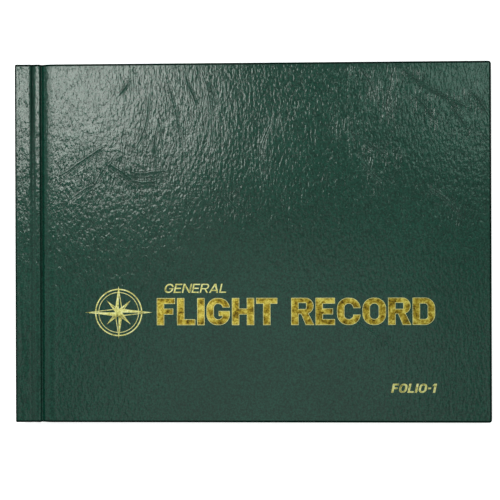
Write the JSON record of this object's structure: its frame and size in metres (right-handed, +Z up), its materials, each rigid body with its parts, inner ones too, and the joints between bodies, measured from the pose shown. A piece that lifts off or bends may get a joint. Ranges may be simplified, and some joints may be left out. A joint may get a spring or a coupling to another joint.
{
  "type": "pilot logbook",
  "caption": "Case-bound landscape flight record book with a stiff hinge strip, grooved flexible joints, sewn page sections and gold foil stamping on green leatherette.",
  "frame": {"origin": "middle of the underside of the back cover, with the book closed and lying flat", "axes": "+X from the spine to the fore-edge, +Y from the tail to the head, +Z up through the front cover"},
  "size_m": [0.227, 0.1714, 0.0137],
  "materials": {
    "leatherette": "dark green embossed leatherette cloth, satin",
    "greyboard": "grey pulp board",
    "page_paper": "off-white ledger paper",
    "endpaper": "heavier cream endpaper",
    "kraft": "brown kraft lining",
    "mull": "open starched cotton gauze",
    "thread": "waxed linen thread",
    "band": "striped woven band",
    "gold_foil": "hot-stamped gold foil, mottled"
  },
  "bodies": {
    "binding": {"spine_cloth": "leatherette", "spine_board": "greyboard", "front_strip_board": "greyboard", "back_strip_board": "greyboard", "spine_lining": "kraft", "mull": "mull", "sewing_thread": "thread", "head_band": "band", "tail_band": "band", "sewn_margins": "page_paper", "section_4": "page_paper"},
    "front_joint": {"front_joint_cloth": "leatherette", "front_joint_lining": "mull"},
    "front_cover": {"front_cover_cloth": "leatherette", "front_board": "greyboard", "front_pastedown": "endpaper", "title_foil": "gold_foil", "subtitle_foil": "gold_foil", "emblem_foil": "gold_foil", "folio_foil": "gold_foil"},
    "back_joint": {"back_joint_cloth": "leatherette", "back_joint_lining": "mull"},
    "back_cover": {"back_cover_cloth": "leatherette", "back_board": "greyboard", "back_pastedown": "endpaper"},
    "front_flyleaf_gutter_link": {"front_flyleaf_gutter": "endpaper"},
    "front_flyleaf_leaves": {"front_flyleaf": "endpaper"},
    "section_1_gutter_link": {"section_1_gutter": "page_paper"},
    "section_1_leaves": {"section_1": "page_paper"},
    "section_2_gutter_link": {"section_2_gutter": "page_paper"},
    "section_2_leaves": {"section_2": "page_paper"},
    "section_3_gutter_link": {"section_3_gutter": "page_paper"},
    "section_3_leaves": {"section_3": "page_paper"},
    "back_flyleaf_gutter_link": {"back_flyleaf_gutter": "endpaper"},
    "back_flyleaf_leaves": {"back_flyleaf": "endpaper"},
    "section_7_gutter_link": {"section_7_gutter": "page_paper"},
    "section_7_leaves": {"section_7": "page_paper"},
    "section_6_gutter_link": {"section_6_gutter": "page_paper"},
    "section_6_leaves": {"section_6": "page_paper"},
    "section_5_gutter_link": {"section_5_gutter": "page_paper"},
    "section_5_leaves": {"section_5": "page_paper"}
  },
  "joints": [
    {"name": "front_cover_open", "type": "hinge", "parent": "binding", "child": "front_joint", "pos_m": [-0.10137, 0, 0.01126], "axis": [0, -1, 0], "range_deg": [0, 90]},
    {"name": "front_cover_fold", "type": "hinge", "parent": "front_joint", "child": "front_cover", "pos_m": [-0.09617, 0, 0.01126], "axis": [0, -1, 0], "range_deg": [0, 90]},
    {"name": "front_flyleaf_lift", "type": "hinge", "parent": "binding", "child": "front_flyleaf_gutter_link", "pos_m": [-0.1005, 0, 0.01051], "axis": [0, -1, 0], "range_deg": [0, 90]},
    {"name": "front_flyleaf_turn", "type": "hinge", "parent": "front_flyleaf_gutter_link", "child": "front_flyleaf_leaves", "pos_m": [-0.09373, 0, 0.01051], "axis": [0, -1, 0], "range_deg": [0, 90]},
    {"name": "section_1_lift", "type": "hinge", "parent": "binding", "child": "section_1_gutter_link", "pos_m": [-0.10015, 0, 0.01028], "axis": [0, -1, 0], "range_deg": [0, 90]},
    {"name": "section_1_turn", "type": "hinge", "parent": "section_1_gutter_link", "child": "section_1_leaves", "pos_m": [-0.09285, 0, 0.01028], "axis": [0, -1, 0], "range_deg": [0, 90]},
    {"name": "section_2_lift", "type": "hinge", "parent": "binding", "child": "section_2_gutter_link", "pos_m": [-0.09904, 0, 0.00929], "axis": [0, -1, 0], "range_deg": [0, 90]},
    {"name": "section_2_turn", "type": "hinge", "parent": "section_2_gutter_link", "child": "section_2_leaves", "pos_m": [-0.08969, 0, 0.00929], "axis": [0, -1, 0], "range_deg": [0, 90]},
    {"name": "section_3_lift", "type": "hinge", "parent": "binding", "child": "section_3_gutter_link", "pos_m": [-0.09793, 0, 0.0083], "axis": [0, -1, 0], "range_deg": [0, 90]},
    {"name": "section_3_turn", "type": "hinge", "parent": "section_3_gutter_link", "child": "section_3_leaves", "pos_m": [-0.08653, 0, 0.0083], "axis": [0, -1, 0], "range_deg": [0, 90]},
    {"name": "back_cover_open", "type": "hinge", "parent": "binding", "child": "back_joint", "pos_m": [-0.10137, 0, 0.0024], "axis": [0, 1, 0], "range_deg": [0, 90]},
    {"name": "back_cover_fold", "type": "hinge", "parent": "back_joint", "child": "back_cover", "pos_m": [-0.09617, 0, 0.0024], "axis": [0, 1, 0], "range_deg": [0, 90]},
    {"name": "back_flyleaf_lift", "type": "hinge", "parent": "binding", "child": "back_flyleaf_gutter_link", "pos_m": [-0.1005, 0, 0.00315], "axis": [0, 1, 0], "range_deg": [0, 90]},
    {"name": "back_flyleaf_turn", "type": "hinge", "parent": "back_flyleaf_gutter_link", "child": "back_flyleaf_leaves", "pos_m": [-0.09373, 0, 0.00315], "axis": [0, 1, 0], "range_deg": [0, 90]},
    {"name": "section_7_lift", "type": "hinge", "parent": "binding", "child": "section_7_gutter_link", "pos_m": [-0.10015, 0, 0.00338], "axis": [0, 1, 0], "range_deg": [0, 90]},
    {"name": "section_7_turn", "type": "hinge", "parent": "section_7_gutter_link", "child": "section_7_leaves", "pos_m": [-0.09285, 0, 0.00338], "axis": [0, 1, 0], "range_deg": [0, 90]},
    {"name": "section_6_lift", "type": "hinge", "parent": "binding", "child": "section_6_gutter_link", "pos_m": [-0.09904, 0, 0.00437], "axis": [0, 1, 0], "range_deg": [0, 90]},
    {"name": "section_6_turn", "type": "hinge", "parent": "section_6_gutter_link", "child": "section_6_leaves", "pos_m": [-0.08969, 0, 0.00437], "axis": [0, 1, 0], "range_deg": [0, 90]},
    {"name": "section_5_lift", "type": "hinge", "parent": "binding", "child": "section_5_gutter_link", "pos_m": [-0.09793, 0, 0.00536], "axis": [0, 1, 0], "range_deg": [0, 90]},
    {"name": "section_5_turn", "type": "hinge", "parent": "section_5_gutter_link", "child": "section_5_leaves", "pos_m": [-0.08653, 0, 0.00536], "axis": [0, 1, 0], "range_deg": [0, 90]}
  ],
  "couplings": [
    {"joint": "front_flyleaf_lift", "follows": "front_cover_open", "ratio": 1},
    {"joint": "front_flyleaf_turn", "follows": "front_cover_fold", "ratio": 0.995},
    {"joint": "section_1_lift", "follows": "front_cover_open", "ratio": 1},
    {"joint": "section_1_turn", "follows": "front_cover_fold", "ratio": 0.985},
    {"joint": "section_2_lift", "follows": "front_cover_open", "ratio": 1},
    {"joint": "section_2_turn", "follows": "front_cover_fold", "ratio": 0.975},
    {"joint": "section_3_lift", "follows": "front_cover_open", "ratio": 1},
    {"joint": "section_3_turn", "follows": "front_cover_fold", "ratio": 0.96},
    {"joint": "back_flyleaf_lift", "follows": "back_cover_open", "ratio": 1},
    {"joint": "back_flyleaf_turn", "follows": "back_cover_fold", "ratio": 0.995},
    {"joint": "section_7_lift", "follows": "back_cover_open", "ratio": 1},
    {"joint": "section_7_turn", "follows": "back_cover_fold", "ratio": 0.985},
    {"joint": "section_6_lift", "follows": "back_cover_open", "ratio": 1},
    {"joint": "section_6_turn", "follows": "back_cover_fold", "ratio": 0.975},
    {"joint": "section_5_lift", "follows": "back_cover_open", "ratio": 1},
    {"joint": "section_5_turn", "follows": "back_cover_fold", "ratio": 0.96}
  ]
}
